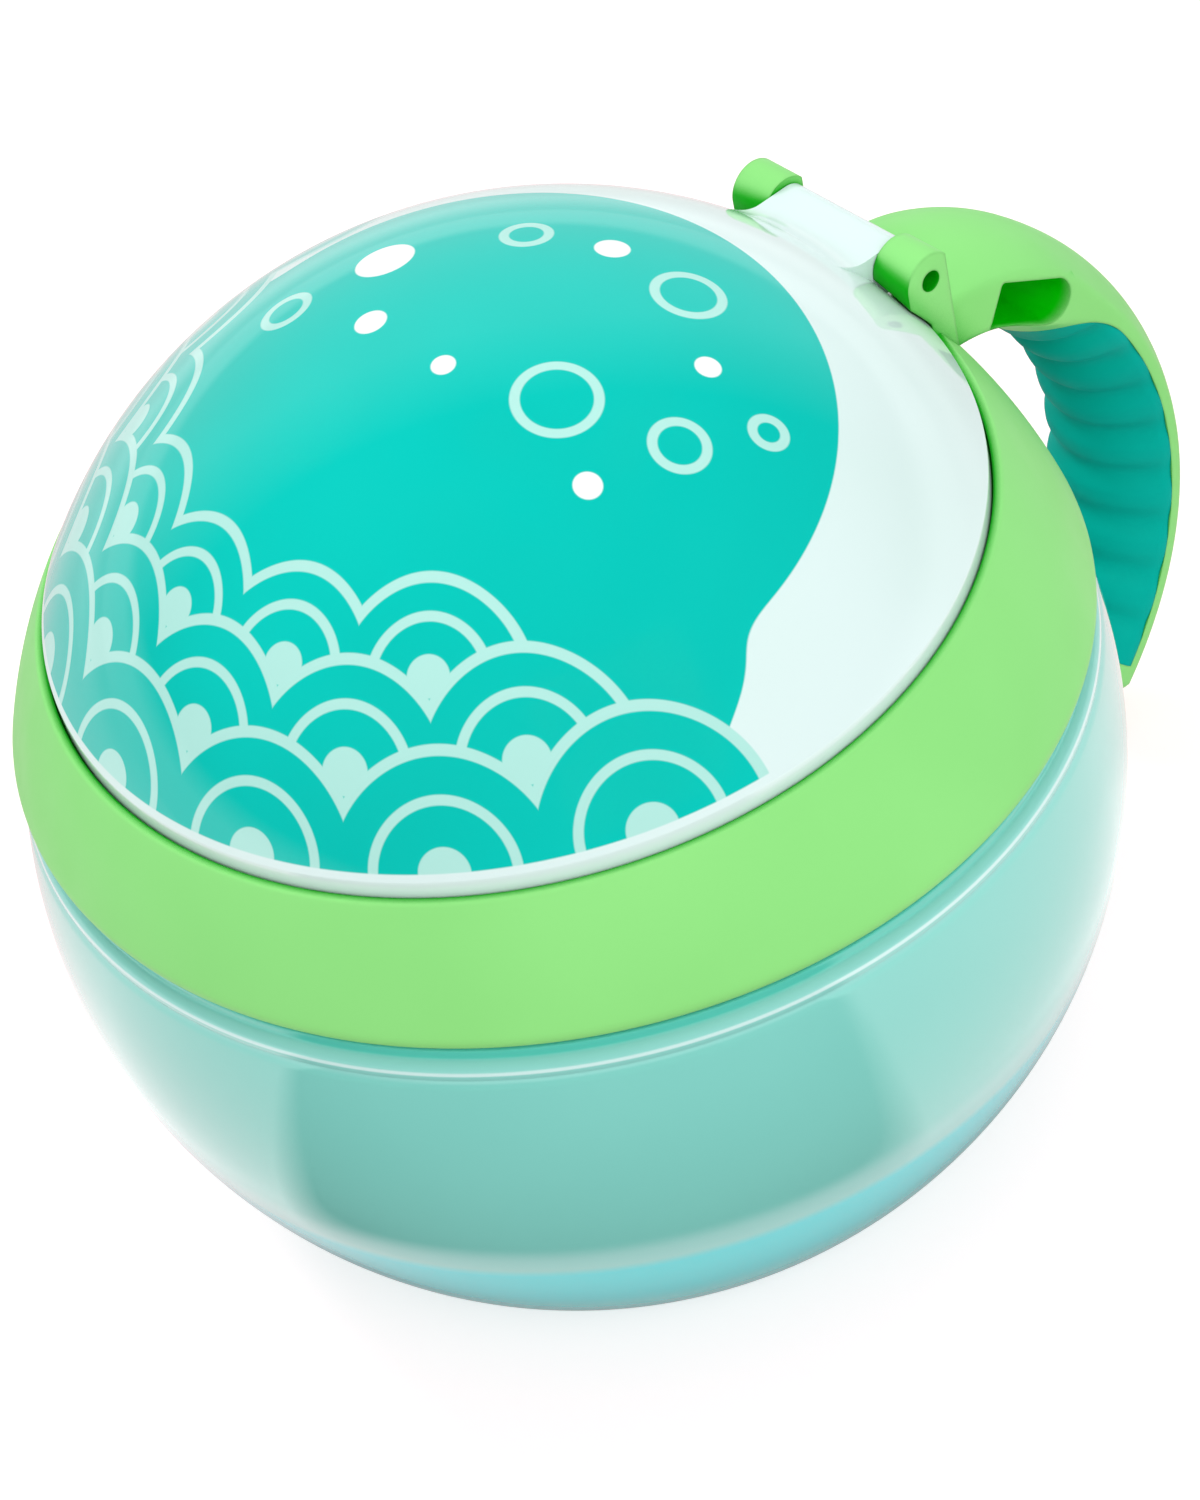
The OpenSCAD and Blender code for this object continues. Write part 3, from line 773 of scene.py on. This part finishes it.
def steel_material():
    """Drawn steel of the pin."""
    m = Nodes("pin_steel", 0.3)
    m.shader.inputs["Metallic"].default_value = 1.0
    m.put(m.shader.inputs["Base Color"], m.mix(m.noise(300, 3), colour(196, 199, 204), colour(180, 184, 190)))
    m.put(m.shader.inputs["Roughness"], m.between(m.noise(900, 3), 0.3, 0.7, 0.24, 0.36))
    m.bump(m.noise(2500, 2), 0.01, 0.4, 0.15)
    return m.mat


def bowl_material():
    """Glossy, milky clear plastic, with painted light and shade: a painted shadow band in the neck under the
    collar, paler painted light and a painted highlight line on the bead, and a painted pale line and a bluer
    painted glow low down where the thick base gathers light.
    """
    m = Nodes("bowl_translucent", 0.06, 0.6)
    height = m.math("MULTIPLY", m.axes(m.place)[2], 1000)
    drift = m.math("MULTIPLY", m.math("SUBTRACT", m.noise(18, 2), 0.5), 2.0)
    low = m.math("ADD", height, drift)
    look = m.mix(m.between(m.noise(22, 2), 0.35, 0.65), colour(137, 219, 207), colour(132, 215, 203))
    # painted light: a pale line low on the bowl, standing in for light seen through the wall
    look = m.mix(m.math("MULTIPLY", m.between(low, 27.0, 24.0), 0.75), look, colour(166, 228, 220))
    # painted light: the base bluer and brighter, as if it gathered light through the translucent floor
    look = m.mix(m.between(low, 22.6, 20.8), look, colour(72, 228, 230))
    look = m.mix(m.between(low, 16.0, 8.0), look, colour(112, 232, 229))
    # painted light: the bead paler than the rest of the bowl
    look = m.mix(m.between(height, BAND_Z + 0.1, BAND_Z + 0.5), look, colour(147, 220, 210))
    # painted highlight: a bright thin line along the bead
    look = m.mix(m.line(m.math("SUBTRACT", height, BAND_Z + 1.3), 0.16), look, colour(214, 246, 243))
    # painted shade: a darker band between the bead and the collar, where the collar shades the bowl
    look = m.mix(m.between(height, BAND_Z + 2.1, BAND_Z + 2.5), look, colour(92, 208, 190))
    m.put(m.shader.inputs["Base Color"], look)
    m.put(m.shader.inputs["Roughness"], m.between(m.noise(70, 3), 0.3, 0.7, 0.04, 0.08))
    m.shader.inputs["Specular Tint"].default_value = (0.72, 0.92, 0.9, 1)
    m.shader.inputs["Coat Weight"].default_value = 0.35
    m.shader.inputs["Coat Roughness"].default_value = 0.03
    m.bump(m.noise(14, 1), 0.6, 0.25, 0.3)
    return m.mat


class DomeMap:
    """Measures over the lid from its top, in mm: a to the right, b to the hinge, reach along the surface."""

    def __init__(self, m):
        self.m = m
        centre = tilted(DOME_H).translation
        turn = m.new("ShaderNodeMapping", vector_type="TEXTURE")
        m.put(turn.inputs["Vector"], m.place)
        turn.inputs["Location"].default_value = centre
        turn.inputs["Rotation"].default_value = (TILT, 0, 0)
        turn.inputs["Scale"].default_value = (MM, MM, MM)
        x, y, z = m.axes(turn.outputs[0])
        flat = m.length(x, y)
        self.away = m.length(flat, z)
        self.reach = m.math("MULTIPLY", m.math("ARCTAN2", flat, z), DOME_R)
        stretch = m.math("DIVIDE", self.reach, m.math("MAXIMUM", flat, 0.001))
        self.a = m.math("MULTIPLY", x, stretch)
        self.b = m.math("MULTIPLY", y, stretch)
        self.around = m.math("MULTIPLY", m.math("ARCTAN2", self.b, self.a), 180 / math.pi)

    def disc(self, a, b, r):
        """Signed distance from a circle, negative inside."""
        m = self.m
        return m.math("SUBTRACT", m.length(m.math("SUBTRACT", self.a, a), m.math("SUBTRACT", self.b, b)), r)

    def past(self, a, b, level):
        """Signed distance from the line a*x + b*y = level."""
        m = self.m
        reach = m.math("ADD", m.math("MULTIPLY", self.a, a), m.math("MULTIPLY", self.b, b))
        return m.math("SUBTRACT", reach, level)


def lid_material():
    """Glossy pale plastic with a printed field of waves and bubbles."""
    m = Nodes("lid_gloss_print", 0.06, 0.4)
    dome = DomeMap(m)
    body = m.mix(m.between(m.noise(25, 2), 0.35, 0.65), colour(225, 245, 243), colour(220, 242, 238))
    ink = m.mix(m.between(m.noise(30, 2), 0.35, 0.65), colour(0, 202, 189), colour(0, 196, 183))
    aqua, white = colour(180, 234, 224), colour(247, 252, 250)
    # the field: a disc that widens to the rim at the front
    front = m.math("SMOOTH_MAX", dome.past(0.909, 0.419, 37.3), dome.past(0, 1, -3), 6)
    field = m.math("SMOOTH_MIN", dome.disc(7, -4, 32.7), front, 6)
    look = m.mix(m.inside(field), body, ink)
    look = bubbles(m, dome, look, aqua, white)
    look = waves(m, dome, look, ink, aqua)
    # no ink on the inside, on the edge or on the hinge plate
    outer = m.math("COMPARE", dome.away, DOME_R, 0.25)
    printed = m.math("MULTIPLY", m.inside(m.math("SUBTRACT", dome.reach, 51.0)), outer)
    m.put(m.shader.inputs["Base Color"], m.mix(printed, body, look))
    m.put(m.shader.inputs["Roughness"], m.between(m.noise(90, 3), 0.3, 0.7, 0.04, 0.08))
    m.shader.inputs["Coat Weight"].default_value = 0.3
    m.shader.inputs["Coat Roughness"].default_value = 0.03
    m.bump(m.noise(60, 2), 0.03, 0.4)
    return m.mat


def bubbles(m, dome, look, aqua, white):
    """Loose bubbles over the upper part: rings and dots."""
    rings = [(11, 18, 3.0), (24, 5, 2.4), (14, 0, 3.6), (-5, 13, 2.0), (-17, -6, 2.2), (27, 13, 1.5)]
    dots = [(-13, 3, 2.8), (-6, -4, 1.5), (2, 17, 1.6), (19, 13, 1.2), (22, -4, 1.3), (4, -4, 1.1)]
    for a, b, r in rings:
        look = m.mix(m.line(dome.disc(a, b, r), 0.45), look, aqua)
    for a, b, r in dots:
        look = m.mix(m.inside(dome.disc(a, b, r)), look, white)
    return look


def waves(m, dome, look, ink, aqua):
    """Three rows of round waves along the front rim, each over the one behind."""
    step = 24.0
    around = m.math("WRAP", dome.around, 90, -270)
    rows = ((34.5, 0, -8, -2, 8.4), (42.5, 12, -8, -1, 9.4), (51.0, 0, -8, -1, 10.4))
    for centre, shift, first, last, r in rows:
        index = m.math("ROUND", m.math("DIVIDE", m.math("ADD", around, shift), step))
        index = m.math("MAXIMUM", m.math("MINIMUM", index, last), first)
        off = m.math("SUBTRACT", m.math("ADD", around, shift), m.math("MULTIPLY", index, step))
        u = m.math("MULTIPLY", off, math.pi / 180 * DOME_R * math.sin(centre / DOME_R))
        v = m.math("SUBTRACT", centre, dome.reach)
        from_middle = m.length(u, v)
        below = m.math("MAXIMUM", m.math("SUBTRACT", m.math("ABSOLUTE", u), r), v)
        lobe = m.math("MINIMUM", m.math("SUBTRACT", from_middle, r), below)
        look = m.mix(m.inside(lobe), look, ink)
        look = m.mix(m.line(lobe, 0.5), look, aqua)
        look = m.mix(m.line(m.math("SUBTRACT", from_middle, r * 0.6), 0.45), look, aqua)
        look = m.mix(m.inside(m.math("SUBTRACT", from_middle, r * 0.22)), look, aqua)
    return look


# ------------------------------------------------------------------ build


def build():
    """Makes each piece and puts it in the place of its CAD node."""
    # the third lime tone is painted shade for creases and hollows
    lime_1, lime_2, lime_crease_shade = colour(147, 231, 133), colour(143, 227, 129), colour(0, 172, 4)
    # painted shade for the inside of the strap slot
    slot_shade = colour(0, 215, 0)
    lime = moulded("lime_satin", lime_1, lime_2, 0.42, crease_shade=lime_crease_shade, specular=0.15, slot_shade=slot_shade)
    # the third teal tone is painted shade for the grip's creases and hollows
    teal_1, teal_2, teal_crease_shade = colour(0, 182, 167), colour(0, 174, 159), colour(0, 138, 118)
    teal = moulded("grip_soft", teal_1, teal_2, 0.6, crease_shade=teal_crease_shade, grain=1400, edge=0.35, specular=0.05)
    soft = moulded("flap_soft", colour(214, 238, 230), colour(205, 233, 224), 0.6, grain=1200, edge=0.3)
    seal = moulded("seal_rubber", colour(240, 242, 238), colour(232, 236, 231), 0.6, grain=1200, edge=0.2)
    pin = rod("pin_rod", PIN_R, -PIN_HALF, PIN_HALF, 0.25)
    dressed = [
        (make_bowl(), bowl_material(), "bowl", "bowl", "bowl_mint"),
        (make_gasket(), seal, "gasket", "gasket", "seal_white"),
        (make_collar(), lime, "collar", "collar", "lime"),
        (make_grip(), teal, "collar", "handle_grip", "grip_teal"),
        (pin, steel_material(), "collar", "hinge_pin", "pin_steel"),
        (make_flap_ring(), soft, "collar", "flap_ring", "flap_soft"),
        (make_lid(), lid_material(), "lid", "lid", "lid_mint"),
    ]
    for i in range(1, 7):
        dressed.append((make_flap(i), soft, f"flap_{i}", f"flap_{i}", "flap_soft"))
    for obj, material, body, node, slot in dressed:
        obj.data.materials.clear()
        obj.data.materials.append(material)
        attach(obj, body)
        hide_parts(node)


# ------------------------------------------------------------------ studio


def make_floor():
    """A plain pale table that glows a little under the bowl."""
    half = 4000
    corners = ((-half, -half), (half, -half), (half, half), (-half, half))
    m = Nodes("floor", 1.0, 0.0)
    mesh = bpy.data.meshes.new("floor")
    mesh.from_pydata([(x * MM, y * MM, 0) for x, y in corners], [], [(0, 1, 2, 3)])
    mesh.materials.append(m.mat)
    placed("floor", mesh)
    path = m.new("ShaderNodeLightPath").outputs
    x, y = [m.math("MULTIPLY", axis, 1000) for axis in m.axes(m.place)[:2]]
    away = m.length(x, y)
    dark = m.math("MULTIPLY", dark_patch(m, x, y, away), path["Is Glossy Ray"])
    mirrored = m.math("MULTIPLY", bright_sides(m, x, y, away), path["Is Glossy Ray"])
    seen = m.math("MAXIMUM", path["Is Camera Ray"], path["Is Transmission Ray"])
    plain = m.math("MULTIPLY", seen, m.ramp(away, 160, 400, 0.56, 1.0))
    under = m.math("MULTIPLY", m.ramp(away, 45, 80, 0.25, 0.0), path["Is Diffuse Ray"])
    shine = m.math("ADD", m.math("ADD", mirrored, plain), under)
    shine = m.math("MULTIPLY", shine, m.math("SUBTRACT", 1, dark))
    m.shader.inputs["Emission Color"].default_value = WHITE
    m.put(m.shader.inputs["Emission Strength"], shine)
    # warm near the bowl, to make up for the green light from it
    paper = m.mix(m.ramp(away, 110, 220), (0.70, 0.52, 0.53, 1.0), (0.57, 0.57, 0.57, 1.0))
    m.put(m.shader.inputs["Base Color"], m.mix(dark, paper, BLACK))


def dark_patch(m, x, y, away):
    """1 where gloss sees the table dark, as in the photograph: in front of the bowl, from 52 mm outwards."""
    start, blend, blur = 52, 12, 4
    edge = m.math("SMOOTH_MAX", m.math("MULTIPLY", x, -1), m.math("SUBTRACT", y, 2), blend)
    edge = m.math("SMOOTH_MAX", edge, m.math("SUBTRACT", start, away), blend)
    return m.ramp(edge, blur, -blur)


def bright_sides(m, x, y, away):
    """How bright gloss sees the table: most at the sides, less behind and far off, not at all by the foot."""
    back = m.math("ADD", m.math("MULTIPLY", x, BACK_X), m.math("MULTIPLY", y, BACK_Y))
    back = m.math("DIVIDE", back, m.math("MAXIMUM", away, 1))
    sides = m.math("MAXIMUM", m.ramp(back, 0.1, 0.7, 0.8, 0.15), m.ramp(away, 250, 500, 0.0, 0.4))
    return m.math("MULTIPLY", sides, m.ramp(away, 40, 56))


def make_world():
    """Even white light: the camera sees white, and gloss a white horizon, a pale back and a dark ceiling."""
    world = bpy.data.worlds.new("studio")
    bpy.context.scene.world = world
    world.use_nodes = True
    m = Tree(world.node_tree)
    path = m.new("ShaderNodeLightPath").outputs
    x, y, z = m.axes(m.new("ShaderNodeTexCoord").outputs["Generated"])
    horizon = m.math("MINIMUM", m.ramp(z, 0.20, 0.10, 0.08, 1.0), m.ramp(z, -0.10, -0.04, 0.08, 1.0))
    back = m.math("ADD", m.math("MULTIPLY", x, BACK_X), m.math("MULTIPLY", y, BACK_Y))
    mirrored = m.math("MAXIMUM", horizon, m.ramp(back, 0.35, 0.7, 0.0, 0.6))
    light = m.level(path["Is Glossy Ray"], WORLD_LIGHT, mirrored)
    seen = m.math("MAXIMUM", path["Is Camera Ray"], path["Is Transmission Ray"])
    shader = m.tree.nodes["Background"]
    shader.inputs["Color"].default_value = WHITE
    m.put(shader.inputs["Strength"], m.level(seen, light, 1.0))


def softbox(name, way, distance, size, power):
    """A square lamp, unseen by gloss, that looks at the middle of the object from a direction."""
    data = bpy.data.lights.new(name, "AREA")
    data.shape = "SQUARE"
    data.size = size
    data.energy = power
    lamp = bpy.data.objects.new(name, data)
    bpy.context.scene.collection.objects.link(lamp)
    lamp.visible_glossy = False
    back = Vector(way).normalized()
    turn = back.to_track_quat("Z", "Y").to_matrix().to_4x4()
    middle = Vector((0, 0, 0.045))
    lamp.matrix_world = Matrix.Translation(back * distance + middle) @ turn


def make_camera():
    """The photograph's camera, by its three directions and its place in the part's frame."""
    right = (0.6504859, 0.7408089, -0.1675418)
    down = (0.4322457, -0.5424588, -0.7203486)
    ahead = (-0.6245252, 0.3961573, -0.6730733)
    place = (290.86965 * MM, -181.75553 * MM, 350.85612 * MM)
    data = bpy.data.cameras.new("camera")
    data.sensor_fit = "VERTICAL"
    data.sensor_height = 36.0
    data.lens = 120.0
    data.clip_start = 0.01
    camera = bpy.data.objects.new("camera", data)
    bpy.context.scene.collection.objects.link(camera)
    rows = [(right[i], -down[i], -ahead[i], place[i]) for i in range(3)]
    camera.matrix_world = Matrix((*rows, (0, 0, 0, 1)))
    bpy.context.scene.camera = camera


build()
make_floor()
make_world()
make_camera()
softbox("key", (-0.75, -0.10, 0.76), 1.0, 0.28, 2.6)
softbox("fill", (0.80, -0.25, 0.62), 1.0, 0.6, 3.6)
softbox("top", (-0.05, 0.35, 0.9), 1.0, 0.6, 1.2)
bpy.context.scene.view_settings.view_transform = "Standard"
